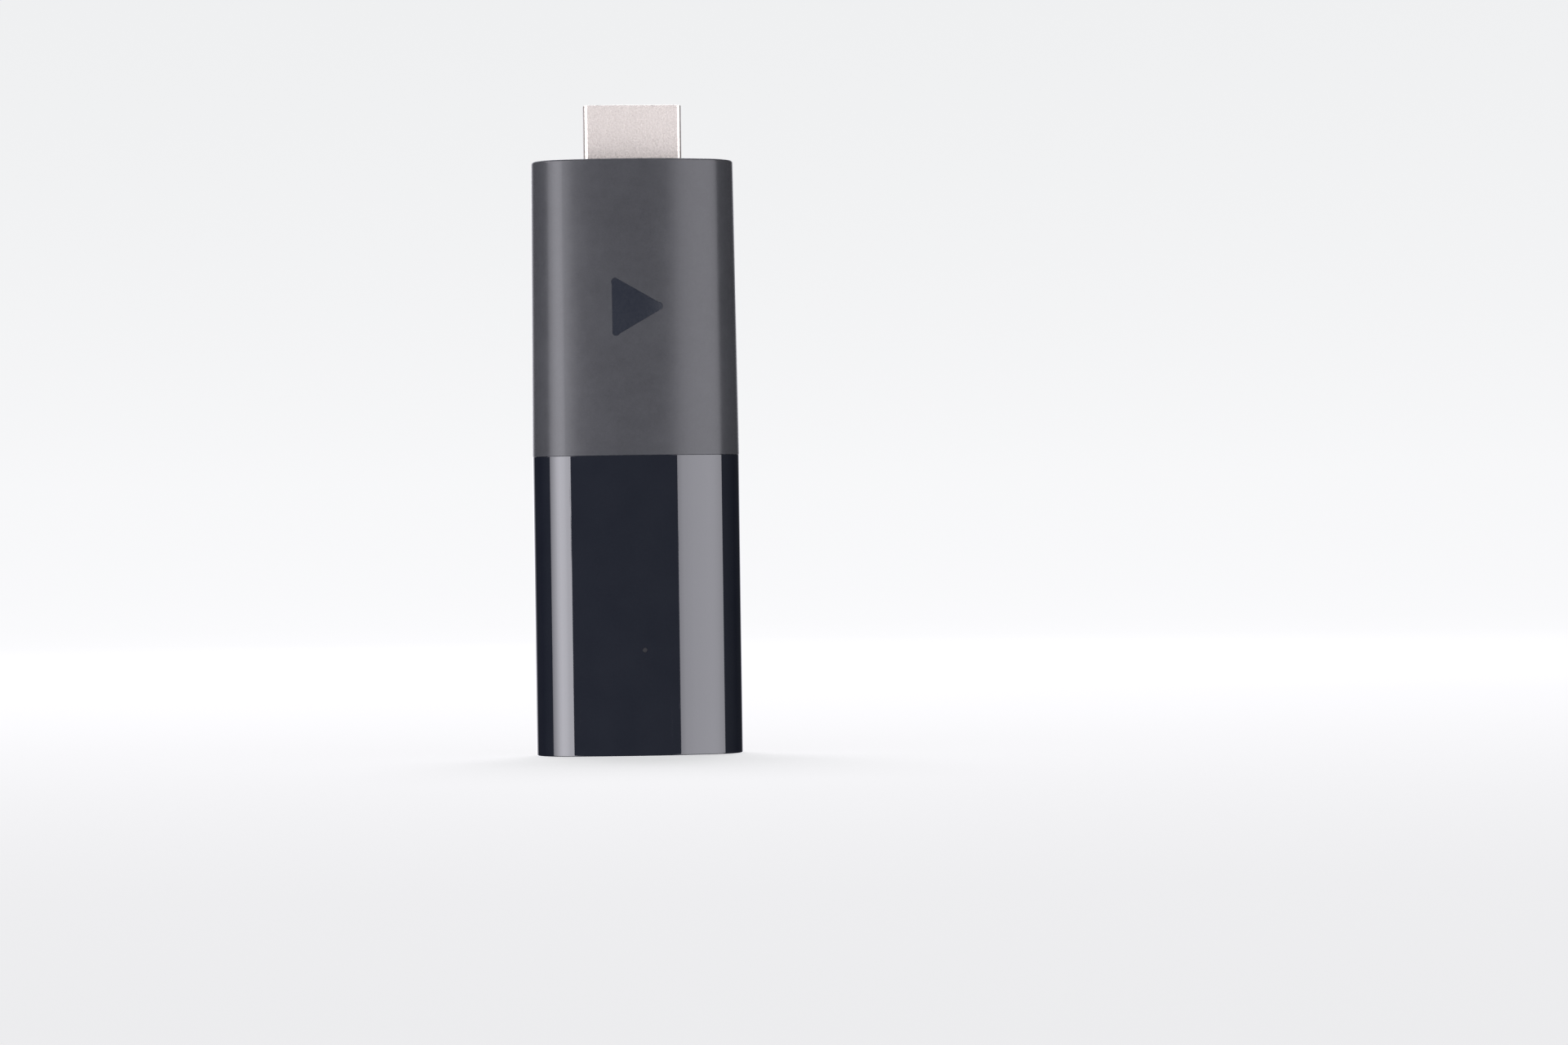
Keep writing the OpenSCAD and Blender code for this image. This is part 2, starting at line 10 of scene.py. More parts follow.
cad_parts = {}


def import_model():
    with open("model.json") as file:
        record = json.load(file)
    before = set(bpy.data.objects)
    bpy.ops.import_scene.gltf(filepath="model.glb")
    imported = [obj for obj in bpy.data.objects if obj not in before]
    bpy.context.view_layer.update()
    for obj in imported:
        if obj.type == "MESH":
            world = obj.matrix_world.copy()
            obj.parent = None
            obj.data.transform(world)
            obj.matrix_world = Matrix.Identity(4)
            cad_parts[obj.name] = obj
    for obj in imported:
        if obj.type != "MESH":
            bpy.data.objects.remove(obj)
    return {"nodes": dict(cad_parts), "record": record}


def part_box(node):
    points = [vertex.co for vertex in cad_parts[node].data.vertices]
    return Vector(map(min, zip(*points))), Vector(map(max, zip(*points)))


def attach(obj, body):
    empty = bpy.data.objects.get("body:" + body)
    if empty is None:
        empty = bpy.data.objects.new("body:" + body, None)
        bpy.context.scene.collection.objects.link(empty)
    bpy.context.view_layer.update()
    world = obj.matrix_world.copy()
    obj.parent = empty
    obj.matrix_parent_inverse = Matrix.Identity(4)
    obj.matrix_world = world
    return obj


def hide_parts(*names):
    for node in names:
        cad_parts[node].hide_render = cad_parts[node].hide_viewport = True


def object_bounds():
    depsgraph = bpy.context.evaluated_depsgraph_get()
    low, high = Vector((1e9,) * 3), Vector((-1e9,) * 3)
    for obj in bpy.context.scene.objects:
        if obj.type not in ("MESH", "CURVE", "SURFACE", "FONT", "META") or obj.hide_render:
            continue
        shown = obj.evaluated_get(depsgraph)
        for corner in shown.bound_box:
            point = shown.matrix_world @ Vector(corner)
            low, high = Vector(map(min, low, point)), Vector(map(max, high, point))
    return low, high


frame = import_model()
CAD_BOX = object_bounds()
MM = 0.001

# ---- camera: where the viewer stands, in metres and degrees ----
LENS_MM = 120.0
SENSOR_MM = 36.0
VIEW_DISTANCE = 0.7473
VIEW_AZIMUTH = -3.69
EYE_HEIGHT = 0.0302
PAN = -1.611
TILT = 0.199
ROLL = -0.804

# ---- light: azimuth 0 is the front, and 90 is the stick's +X side ----
BOX_DISTANCE = 0.62
BOX_HEIGHT = 1.3
# upright softboxes: pairs of azimuth and brightness across each
SOFTBOXES = {
    "right_softbox": (
        (22.3, 4.6), (25.0, 5.9), (30.0, 6.4), (38.0, 6.7), (48.0, 6.4), (58.0, 5.8), (68.5, 4.9),
    ),
    "left_softbox": (
        (-79.0, 3.4), (-73.0, 5.2), (-66.0, 7.0), (-58.0, 9.4),
        (-50.0, 10.6), (-40.0, 10.2), (-34.0, 9.4), (-30.3, 8.4),
    ),
    "back_softbox": ((150.0, 0.6), (163.0, 1.2), (180.0, 2.6), (197.0, 1.2), (210.0, 0.6)),
}
# further lamps: azimuth, elevation, distance, (width, height) and brightness
HIGH_LEFT_LAMP = (-82.0, 30.0, 0.75, (0.2, 0.35), 8.0)
HIGH_BACK_LAMP = (180.0, 52.0, 0.85, (0.8, 0.5), 3.0)
TOP_LAMP = (180.0, 64.0, 1.1, (0.6, 0.6), 4.6)
LAMP_COLOUR = (1.0, 0.985, 1.06)
# the room that reflections see: its brightness in front and behind, and its colour
FRONT_DIM = 0.24
BACK_DIM = 0.04
ROOM_COLOUR = (0.86, 0.92, 1, 1)
# what the camera sees past the paper
PALE = (0.93, 0.93, 0.935, 1)
# the paper: its colour, and its own glow from near the stick to far out, over this reach in metres
PAPER_COLOUR = (0.76, 0.75, 0.735, 1)
FLOOR_GLOW = 0.58
WALL_GLOW = 0.73
GLOW_REACH = (0.3, 1.3)


def camera():
    """The camera is almost level with the stick's lower half, and a little to its left."""
    a = math.radians(VIEW_AZIMUTH)
    place = Vector((math.sin(a), -math.cos(a), 0)) * VIEW_DISTANCE + Vector((0, 0, EYE_HEIGHT))
    b = math.radians(VIEW_AZIMUTH + PAN)
    t = math.radians(TILT)
    ahead = Vector((-math.sin(b) * math.cos(t), math.cos(b) * math.cos(t), math.sin(t)))
    right = ahead.cross(Vector((0, 0, 1))).normalized()
    up = right.cross(ahead)
    r = math.radians(ROLL)
    across = math.cos(r) * right + math.sin(r) * up
    upward = math.cos(r) * up - math.sin(r) * right
    data = bpy.data.cameras.new("camera")
    data.lens = LENS_MM
    data.sensor_width = SENSOR_MM
    data.clip_start, data.clip_end = 0.01, 20
    cam = bpy.data.objects.new("camera", data)
    turn = Matrix((across, upward, -ahead)).transposed()
    cam.matrix_world = Matrix.Translation(place) @ turn.to_4x4()
    bpy.context.scene.collection.objects.link(cam)
    bpy.context.scene.camera = cam


def lamp(name, place, target, size, radiance):
    """A flat area lamp that faces target. Its radiance is what a mirror would show."""
    data = bpy.data.lights.new(name, "AREA")
    data.shape = "RECTANGLE"
    data.size, data.size_y = size
    data.color = LAMP_COLOUR
    data.energy = radiance * math.pi * size[0] * size[1]
    obj = bpy.data.objects.new(name, data)
    obj.location = place
    obj.rotation_euler = (target - place).to_track_quat("-Z", "Y").to_euler()
    obj.visible_camera = False
    bpy.context.scene.collection.objects.link(obj)
    return obj


def softbox(name, glow):
    """A tall upright softbox. glow lists its azimuths seen from the stick, each with its brightness there."""
    first, last = glow[0][0], glow[-1][0]
    middle, half = (first + last) / 2, math.radians(last - first) / 2
    a = math.radians(middle)
    place = Vector((math.sin(a), -math.cos(a), 0)) * BOX_DISTANCE
    width = 2 * BOX_DISTANCE * math.tan(half)
    strongest = max(level for azimuth, level in glow)
    obj = lamp(name, place, Vector((0, 0, 0)), (width, BOX_HEIGHT), strongest)
    shares = [0.5 + math.tan(math.radians(azimuth - middle)) / math.tan(half) / 2 for azimuth, level in glow]
    fade_across(obj.data, [(share, level / strongest) for share, (azimuth, level) in zip(shares, glow)])
    return obj


def high_lamp(name, azimuth, elevation, distance, size, radiance):
    """A lamp up on a stand, which faces the stick's foot."""
    a, e = math.radians(azimuth), math.radians(elevation)
    away = Vector((math.sin(a) * math.cos(e), -math.cos(a) * math.cos(e), math.sin(e)))
    return lamp(name, away * distance, Vector((0, 0, 0)), size, radiance)


def fade_across(data, stops):
    """Makes a lamp's brightness change across its width. stops are pairs of share of width and brightness."""
    data.use_nodes = True
    tree = data.node_tree
    emission = next(n for n in tree.nodes if n.type == "EMISSION")
    at, apart, ramp = (tree.nodes.new("ShaderNode" + k) for k in ("NewGeometry", "SeparateXYZ", "ValToRGB"))
    tree.links.new(at.outputs["Parametric"], apart.inputs[0])
    tree.links.new(apart.outputs["X"], ramp.inputs["Fac"])
    marks = ramp.color_ramp.elements
    for mark, (share, level) in zip((marks[0], marks[1]), (stops[0], stops[-1])):
        mark.position = share
        mark.color = (level, level, level, 1)
    for share, level in stops[1:-1]:
        marks.new(share).color = (level, level, level, 1)
    tree.links.new(ramp.outputs["Color"], emission.inputs["Color"])


def world():
    """Beyond the bowl. Reflections see it dim in front and nearly dark behind. The camera sees it pale."""
    w = bpy.data.worlds.new("studio")
    bpy.context.scene.world = w
    w.use_nodes = True
    tree = w.node_tree
    dim = tree.nodes["Background"]
    pale, path, mix = (tree.nodes.new("ShaderNode" + k) for k in ("Background", "LightPath", "MixShader"))
    at, apart = (tree.nodes.new("ShaderNode" + k) for k in ("TexCoord", "SeparateXYZ"))
    tree.links.new(at.outputs["Generated"], apart.inputs[0])
    span(tree, apart.outputs["Y"], FRONT_DIM, BACK_DIM, dim.inputs["Strength"], source=(-0.4, 0.4))
    dim.inputs["Color"].default_value = ROOM_COLOUR
    pale.inputs["Color"].default_value = PALE
    tree.links.new(path.outputs["Is Camera Ray"], mix.inputs["Fac"])
    tree.links.new(dim.outputs[0], mix.inputs[1])
    tree.links.new(pale.outputs[0], mix.inputs[2])
    tree.links.new(mix.outputs[0], tree.nodes["World Output"].inputs["Surface"])


def bowl():
    """A round paper floor that curves up into the backdrop all round."""
    flat, bend, high, steps, around = 0.9, 1.5, 3.0, 24, 96
    profile = [(0.0, 0.0), (flat, 0.0)]
    for k in range(1, steps + 1):
        a = math.pi / 2 * k / steps
        profile.append((flat + bend * math.sin(a), bend * (1 - math.cos(a))))
    profile.append((flat + bend, high))
    mesh = bmesh.new()
    rings = [[mesh.verts.new((0, 0, 0))]]
    for radius, z in profile[1:]:
        turns = (2 * math.pi * k / around for k in range(around))
        rings.append([mesh.verts.new((radius * math.cos(t), radius * math.sin(t), z)) for t in turns])
    for k in range(around):
        n = (k + 1) % around
        mesh.faces.new((rings[0][0], rings[1][k], rings[1][n]))
        for low, top in zip(rings[1:], rings[2:]):
            mesh.faces.new((low[k], top[k], top[n], low[n]))
    data = bpy.data.meshes.new("paper_bowl")
    mesh.to_mesh(data)
    mesh.free()
    data.shade_smooth()
    obj = bpy.data.objects.new("paper_bowl", data)
    bpy.context.scene.collection.objects.link(obj)
    obj.visible_glossy = False
    obj.visible_diffuse = False
    obj.visible_shadow = False
    obj.data.materials.append(paper())
    return obj


def keep_off(paper, lamps):
    """The paper is lit only from above, so that it stays even and shows one soft shadow."""
    spared = bpy.data.collections.new("spared_from_softboxes")
    spared.objects.link(paper)
    spared.collection_objects[0].light_linking.link_state = "EXCLUDE"
    for each in lamps:
        each.light_linking.receiver_collection = spared


def paper():
    """Pale paper that glows a little, more so far out where less light falls. It's clear from below."""
    m, shader = principled("pale_paper", Base_Color=PAPER_COLOUR, Roughness=0.9, Specular_IOR_Level=0.0)
    shader.inputs["Emission Color"].default_value = (1, 1, 1, 1)
    m.cycles.emission_sampling = "NONE"
    tree = m.node_tree
    out = tree.nodes["Material Output"]
    side, reach = tree.nodes.new("ShaderNodeNewGeometry"), tree.nodes.new("ShaderNodeVectorMath")
    clear, mix = tree.nodes.new("ShaderNodeBsdfTransparent"), tree.nodes.new("ShaderNodeMixShader")
    reach.operation = "LENGTH"
    tree.links.new(side.outputs["Position"], reach.inputs[0])
    glow = shader.inputs["Emission Strength"]
    span(tree, reach.outputs["Value"], FLOOR_GLOW, WALL_GLOW, glow, source=GLOW_REACH)
    tree.links.new(side.outputs["Backfacing"], mix.inputs["Fac"])
    tree.links.new(shader.outputs[0], mix.inputs[1])
    tree.links.new(clear.outputs[0], mix.inputs[2])
    tree.links.new(mix.outputs[0], out.inputs["Surface"])
    return m


# ---- node helpers ----

def principled(name, **sockets):
    """A new material and its shader, with some of the shader's sockets set."""
    m = bpy.data.materials.new(name)
    m.use_nodes = True
    shader = m.node_tree.nodes["Principled BSDF"]
    for key, value in sockets.items():
        shader.inputs[key.replace("_", " ")].default_value = value
    return m, shader


def noise(tree, size_mm, detail, stretch=None):
    """Soft lumps of one size. stretch squeezes the pattern along each axis."""
    at = tree.nodes.new("ShaderNodeTexCoord")
    n = tree.nodes.new("ShaderNodeTexNoise")
    n.inputs["Scale"].default_value = 1 / MM / size_mm
    n.inputs["Detail"].default_value = detail
    source = at.outputs["Object"]
    if stretch:
        squeeze = tree.nodes.new("ShaderNodeMapping")
        squeeze.inputs["Scale"].default_value = stretch
        tree.links.new(source, squeeze.inputs["Vector"])
        source = squeeze.outputs["Vector"]
    tree.links.new(source, n.inputs["Vector"])
    return n.outputs["Fac"]


def cells(tree, size_mm, feature="F1"):
    """Cells of one size: the distance to each cell's middle, or to its edge."""
    at = tree.nodes.new("ShaderNodeTexCoord")
    v = tree.nodes.new("ShaderNodeTexVoronoi")
    v.feature = feature
    v.inputs["Scale"].default_value = 1 / MM / size_mm
    tree.links.new(at.outputs["Object"], v.inputs["Vector"])
    return v.outputs["Distance"]


def blend(tree, a, b, share):
    """Mixes two heights or masks: share is how much of b there is."""
    mix = tree.nodes.new("ShaderNodeMix")
    mix.inputs["Factor"].default_value = share
    tree.links.new(a, mix.inputs["A"])
    tree.links.new(b, mix.inputs["B"])
    return mix.outputs["Result"]


def span(tree, fac, low, high, socket=None, source=(0.3, 0.7)):
    """Maps the source range of a pattern to low and high, into a socket where one is given."""
    r = tree.nodes.new("ShaderNodeMapRange")
    r.inputs["From Min"].default_value, r.inputs["From Max"].default_value = source
    r.inputs["To Min"].default_value, r.inputs["To Max"].default_value = low, high
    tree.links.new(fac, r.inputs["Value"])
    if socket:
        tree.links.new(r.outputs["Result"], socket)
    return r.outputs["Result"]


def two_tone(tree, fac, dark, light, shader, source=(0.3, 0.7)):
    """The shader's colour runs from dark to light over the source range of a pattern."""
    r = tree.nodes.new("ShaderNodeValToRGB")
    r.color_ramp.elements[0].position, r.color_ramp.elements[1].position = source
    r.color_ramp.elements[0].color = (*dark, 1)
    r.color_ramp.elements[1].color = (*light, 1)
    tree.links.new(fac, r.inputs["Fac"])
    tree.links.new(r.outputs["Color"], shader.inputs["Base Color"])


def bump(tree, shader, height, depth_mm, below=None):
    """Raises the surface by a pattern, over another bump where below is given."""
    b = tree.nodes.new("ShaderNodeBump")
    b.inputs["Distance"].default_value = depth_mm * MM
    tree.links.new(height, b.inputs["Height"])
    if below:
        tree.links.new(below.outputs["Normal"], b.inputs["Normal"])
    tree.links.new(b.outputs["Normal"], shader.inputs["Normal"])
    return b


# ---- materials: sizes and depths are in millimetres ----

def grained(name, dark, light, rough, grain_mm, depth_mm, specular=0.5):
    """A fine grain whose colour, roughness and height vary together, over a broad faint mottle."""
    m, shader = principled(name, Specular_IOR_Level=specular)
    tree = m.node_tree
    fine = noise(tree, grain_mm, 3)
    both = blend(tree, fine, noise(tree, 4.0, 2), 0.3)
    two_tone(tree, both, dark, light, shader)
    span(tree, both, rough[0], rough[1], shader.inputs["Roughness"])
    bump(tree, shader, fine, depth_mm)
    return m


def matte_plastic(name, dark, light, rough):
    """Spark-textured plastic: a fine grain of rounded pits, with a faint mottle where the mould wore."""
    m, shader = principled(name, Specular_IOR_Level=0.21)
    tree = m.node_tree
    pits = blend(tree, noise(tree, 0.16, 2), noise(tree, 0.45, 2), 0.35)
    mottle = blend(tree, noise(tree, 9.0, 3), noise(tree, 1.6, 2), 0.4)
    two_tone(tree, blend(tree, pits, mottle, 0.5), dark, light, shader)
    span(tree, blend(tree, mottle, pits, 0.4), rough[0], rough[1], shader.inputs["Roughness"])
    bump(tree, shader, pits, 0.0032)
    return m


def gloss_plastic(name, dark, light, rough):
    """Piano-black plastic: a mirror skin with slight flow waves, hairline scratches, and specks of dust."""
    m, shader = principled(name)
    tree = m.node_tree
    waves = blend(tree, noise(tree, 7.0, 1), noise(tree, 2.2, 1), 0.25)
    hairs = span(tree, noise(tree, 0.25, 2, stretch=(1.0, 1.0, 0.02)), 0.0, 1.0, source=(0.66, 0.76))
    dust = span(tree, cells(tree, 2.6), 1.0, 0.0, source=(0.015, 0.035))
    marks = blend(tree, hairs, dust, 0.45)
    two_tone(tree, blend(tree, waves, noise(tree, 0.3, 2), 0.3), dark, light, shader)
    span(tree, marks, rough[0], rough[1], shader.inputs["Roughness"], source=(0.0, 1.0))
    under = bump(tree, shader, waves, 0.0012)
    bump(tree, shader, marks, 0.0004, below=under)
    return m


def blasted_metal(name, dark, light, rough):
    """Bead-blasted nickel: an even grain of fine dents, under faint rub marks from being plugged in."""
    m, shader = principled(name, Metallic=1.0)
    tree = m.node_tree
    dents = blend(tree, cells(tree, 0.26), noise(tree, 0.3, 3), 0.75)
    rubs = noise(tree, 0.18, 3, stretch=(1.0, 1.0, 0.04))
    two_tone(tree, blend(tree, dents, rubs, 0.1), dark, light, shader)
    span(tree, blend(tree, dents, rubs, 0.2), rough[1], rough[0], shader.inputs["Roughness"])
    under = bump(tree, shader, dents, 0.02)
    bump(tree, shader, rubs, 0.0006, below=under)
    return m


def brushed_metal(name, dark, light, rough, grain_mm=0.12):
    """Metal with a lengthwise grain along the stick, and broad faint smudges."""
    m, shader = principled(name, Metallic=1.0)
    tree = m.node_tree
    lines = noise(tree, grain_mm, 3, stretch=(1.0, 1.0, 0.03))
    smudges = noise(tree, 4.0, 3)
    two_tone(tree, blend(tree, lines, smudges, 0.4), dark, light, shader)
    span(tree, blend(tree, lines, smudges, 0.6), rough[0], rough[1], shader.inputs["Roughness"])
    bump(tree, shader, lines, 0.002)
    return m


def solder_mask(name, dark, light, rough):
    """Green solder mask over copper: traces stand out as slightly lighter, slightly raised lines."""
    m, shader = principled(name)
    tree = m.node_tree
    traces = span(tree, cells(tree, 1.7, "DISTANCE_TO_EDGE"), 1.0, 0.0, source=(0.03, 0.07))
    weave = noise(tree, 0.35, 2)
    two_tone(tree, blend(tree, weave, traces, 0.55), dark, light, shader)
    span(tree, blend(tree, weave, traces, 0.4), rough[0], rough[1], shader.inputs["Roughness"])
    under = bump(tree, shader, traces, 0.03)
    bump(tree, shader, weave, 0.003, below=under)
    return m


def cellular(name, dark, light, rough, cell_mm, depth_mm):
    """Open-celled foam, or a pad full of filler grains."""
    m, shader = principled(name)
    tree = m.node_tree
    both = blend(tree, cells(tree, cell_mm), noise(tree, 3 * cell_mm, 2), 0.4)
    two_tone(tree, both, dark, light, shader, source=(0.15, 0.6))
    span(tree, both, rough[0], rough[1], shader.inputs["Roughness"], source=(0.15, 0.6))
    bump(tree, shader, both, depth_mm)
    return m


# For each of the record's material slots: how it is made, the dark and the light end of its colour,
# its range of roughness, and then the size and the depth of its grain where the maker takes them.
LOOKS = {
    "matte_casing": (matte_plastic, (0.0180, 0.0183, 0.0196), (0.0260, 0.0265, 0.0283), (0.2, 0.27)),
    "gloss_casing": (gloss_plastic, (0.0024, 0.0029, 0.005), (0.0036, 0.0042, 0.0064), (0.018, 0.16)),
    "gloss_inlay": (grained, (0.004, 0.005, 0.008), (0.006, 0.007, 0.01), (0.2, 0.26), 0.25, 0.0012),
    "clear_plastic": (
        grained, (0.004, 0.004, 0.005), (0.008, 0.008, 0.009), (0.4, 0.5), 0.08, 0.002, 0.2,
    ),
    "plug_metal": (blasted_metal, (0.33, 0.302, 0.277), (0.62, 0.57, 0.524), (0.36, 0.52)),
    "port_metal": (brushed_metal, (0.46, 0.46, 0.47), (0.62, 0.62, 0.63), (0.24, 0.36)),
    "black_insulator": (grained, (0.011, 0.011, 0.012), (0.022, 0.022, 0.023), (0.4, 0.52), 0.2, 0.006),
    "gold_contact": (brushed_metal, (0.72, 0.46, 0.16), (0.88, 0.64, 0.3), (0.16, 0.28), 0.06),
    "board_laminate": (solder_mask, (0.004, 0.036, 0.02), (0.014, 0.1, 0.05), (0.22, 0.42)),
    "chip_resin": (grained, (0.016, 0.016, 0.017), (0.032, 0.032, 0.033), (0.5, 0.68), 0.09, 0.008),
    "shield_metal": (brushed_metal, (0.52, 0.52, 0.51), (0.7, 0.7, 0.68), (0.26, 0.44)),
    "led_resin": (grained, (0.66, 0.64, 0.5), (0.85, 0.83, 0.7), (0.28, 0.4), 0.12, 0.003),
    "thermal_pad": (cellular, (0.3, 0.36, 0.48), (0.2, 0.26, 0.37), (0.6, 0.78), 0.12, 0.01),
    "spreader_metal": (brushed_metal, (0.56, 0.56, 0.57), (0.74, 0.74, 0.75), (0.28, 0.44), 0.09),
    "foam": (cellular, (0.012, 0.012, 0.013), (0.07, 0.07, 0.074), (0.84, 0.96), 0.28, 0.12),
    "ferrite": (grained, (0.026, 0.026, 0.028), (0.065, 0.065, 0.068), (0.5, 0.68), 0.12, 0.02),
    "capacitor_ceramic": (grained, (0.28, 0.18, 0.1), (0.42, 0.29, 0.18), (0.38, 0.5), 0.08, 0.004),
    "resistor_ceramic": (grained, (0.013, 0.013, 0.015), (0.032, 0.032, 0.036), (0.34, 0.5), 0.08, 0.004),
}


def dress(looks):
    """Every CAD node takes the look of its material slot."""
    slots = {row["node"]: row["material_slot"] for row in frame["record"]["subparts"]}
    for node, obj in frame["nodes"].items():
        obj.data.materials.clear()
        obj.data.materials.append(looks[slots[node]])


# ---- casing section, in millimetres: two broad crowns and two side curves that touch ----
SIDE_R = 6.3
WALL = 1.5
# how far each side of the matte sleeve draws in towards the plug, up to the plug end's bevel
DRAFT = 0.35
CAD_BEVEL = 0.3
# how round the casing's edges are: at the plug end, at the lower end, and at the line between the sleeves
PLUG_END_ROUND = 0.36
LOWER_END_ROUND = 0.18
LINE_ROUND = 0.07
# how far a cut runs beyond what it cuts, and how deep two joined blocks overlap
PAST = 1.0
JOIN = 0.01

upper_box = [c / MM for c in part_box("upper_shell")]
plug_box = [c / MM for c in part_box("hdmi_plug_shell")]
port_box = [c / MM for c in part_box("usb_port_shell")]
HALF_W, HALF_T = CAD_BOX[1].x / MM, CAD_BOX[1].y / MM
LINE_Z, BODY_LEN = upper_box[0].z, upper_box[1].z
SIDE_X = HALF_W - SIDE_R
CROWN_R = (SIDE_X ** 2 + HALF_T ** 2 - SIDE_R ** 2) / (2 * (HALF_T - SIDE_R))
CROWN_Y = CROWN_R - HALF_T
UPPER_SLOPE = DRAFT / (BODY_LEN - LINE_Z - CAD_BEVEL)
UPPER_WALL = WALL + DRAFT


def facing(degrees):
    """The direction that an azimuth faces: 0 is the front, -Y, and 90 is +X."""
    a = math.radians(degrees)
    return Vector((math.sin(a), -math.cos(a)))


def casing_outline(side_steps=72, crown_steps=48):
    """Points round the casing's section, each with its outward direction."""
    lean = math.degrees(math.asin(SIDE_X / (CROWN_R - SIDE_R)))
    arcs = (
        (Vector((0, CROWN_Y)), CROWN_R, -lean, lean, crown_steps),
        (Vector((SIDE_X, 0)), SIDE_R, lean, 180 - lean, side_steps),
        (Vector((0, -CROWN_Y)), CROWN_R, 180 - lean, 180 + lean, crown_steps),
        (Vector((-SIDE_X, 0)), SIDE_R, 180 + lean, 360 - lean, side_steps),
    )
    found = []
    for centre, radius, first, last, steps in arcs:
        for k in range(steps):
            out = facing(first + (last - first) * k / steps)
            found.append((centre + radius * out, out))
    return found


def rounded(corners, radii, steps=6, closed=True):
    """The points of an anticlockwise convex polygon with rounded corners, each with its outward direction."""
    count = len(corners)
    corners = [Vector(c) for c in corners]
    found = []
    for k, (corner, radius) in enumerate(zip(corners, radii)):
        before = (corner - corners[k - 1]).normalized() if closed or k > 0 else None
        after = (corners[(k + 1) % count] - corner).normalized() if closed or k < count - 1 else None
        outs = [Vector((d.y, -d.x)) for d in (before, after) if d is not None]
        if len(outs) == 1 or radius == 0:
            found += [(corner, out) for out in outs]
            continue
        first = math.atan2(outs[0].y, outs[0].x)
        turn = (math.atan2(outs[1].y, outs[1].x) - first + math.pi) % (2 * math.pi) - math.pi
        centre = corner - (outs[0] + outs[1]) * radius / (1 + outs[0].dot(outs[1]))
        for s in range(steps + 1):
            a = first + turn * s / steps
            out = Vector((math.cos(a), math.sin(a)))
            found.append((centre + radius * out, out))
    return found


def piece(name, mesh, look, slot, *nodes):
    """A finished mesh becomes a shown piece that stands for its CAD nodes."""
    obj = bpy.data.objects.new(name, mesh)
    bpy.context.scene.collection.objects.link(obj)
    mesh.materials.clear()
    mesh.materials.append(look)
    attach(obj, "root")
    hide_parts(*nodes)
    return obj


def scratch(name, verts, faces):
    """A mesh in millimetres to build with."""
    mesh = bpy.data.meshes.new(name)
    mesh.from_pydata([tuple(c * MM for c in v) for v in verts], [], faces)
    mesh.update()
    obj = bpy.data.objects.new(name, mesh)
    bpy.context.scene.collection.objects.link(obj)
    return obj


def swept(name, outline, profile, ring=False):
    """Sweeps a profile of (outwards, height) points round an outline. Both ends get caps, except a ring's."""
    n, m = len(outline), len(profile)
    verts = []
    for (out, z), _ in profile:
        for p, away in outline:
            q = p + out * away
            verts.append((q.x, q.y, z))
    faces = []
    for j in range(m if ring else m - 1):
        a, b = j * n, (j + 1) % m * n
        for k in range(n):
            e = (k + 1) % n
            faces.append((a + k, a + e, b + e, b + k))
    if not ring:
        faces.append(tuple(reversed(range(n))))
        faces.append(tuple(range((m - 1) * n, m * n)))
    return scratch(name, verts, faces)


def boxes(name, *spans):
    """One mesh of separate blocks. Each span is its lowest and its highest corner."""
    verts, faces = [], []
    for low, high in spans:
        at = len(verts)
        verts += [(x, y, z) for z in (low[2], high[2]) for y in (low[1], high[1]) for x in (low[0], high[0])]
        quads = ((0, 2, 3, 1), (4, 5, 7, 6), (0, 1, 5, 4), (2, 6, 7, 3), (0, 4, 6, 2), (1, 3, 7, 5))
        faces += [tuple(at + k for k in quad) for quad in quads]
    return scratch(name, verts, faces)


def straight(z0, z1, out=0.0):
    """The profile of an upright wall."""
    return [((out, z0), None), ((out, z1), None)]


def bored(name, outline, far, near):
    """A block through the front face. Its outline is points of (x, z), and it runs from y = far to near."""
    count = len(outline)
    verts = [(x, y, z) for y in (far, near) for x, z in outline]
    faces = [tuple(range(count)), tuple(reversed(range(count, 2 * count)))]
    faces += [(k, k + count, (k + 1) % count + count, (k + 1) % count) for k in range(count)]
    return scratch(name, verts, faces)


def prism(z0, z1, inset):
    """A block of the casing's own section, drawn in by inset."""
    return swept("prism", casing_outline(), straight(z0, z1, -inset))


def combine(obj, operation, *others):
    """Applies each of the other meshes to obj, and then removes it."""
    for other in others:
        step = obj.modifiers.new("step", "BOOLEAN")
        step.operation, step.solver, step.object = operation, "EXACT", other
        view = bpy.context.evaluated_depsgraph_get()
        made = bpy.data.meshes.new_from_object(obj.evaluated_get(view), depsgraph=view)
        obj.modifiers.clear()
        old, obj.data = obj.data, made
        bpy.data.meshes.remove(old)
        spent = other.data
        bpy.data.objects.remove(other)
        bpy.data.meshes.remove(spent)
    return obj


def casing_place(co):
    """How far a point is outside the casing's section, and which way it faces there."""
    x, y = co.x / MM, co.y / MM
    side = Vector((x - math.copysign(SIDE_X, x), y))
    crown = Vector((x, y + math.copysign(CROWN_Y, y)))
    if abs(crown.x) * (CROWN_R - SIDE_R) < SIDE_X * crown.length and y != 0:
        return crown.length - CROWN_R, crown.normalized()
    return side.length - SIDE_R, side.normalized()


def along(profile, out, z):
    """The nearest place on a profile: its distance, and the profile's own direction there."""
    at, best = Vector((out, z)), (math.inf, None)
    for (a, na), (b, nb) in zip(profile, profile[1:]):
        a, b = Vector(a), Vector(b)
        step = b - a
        t = min(max((at - a).dot(step) / max(step.length_squared, 1e-12), 0), 1)
        gap = (at - a - t * step).length
        if gap < best[0]:
            best = gap, na.lerp(nb, t).normalized()
    return best


# edges sharper than this angle stay sharp, and points this near the profile are on the skin
CREASE = 35.0
SKIN_GAP = 0.004


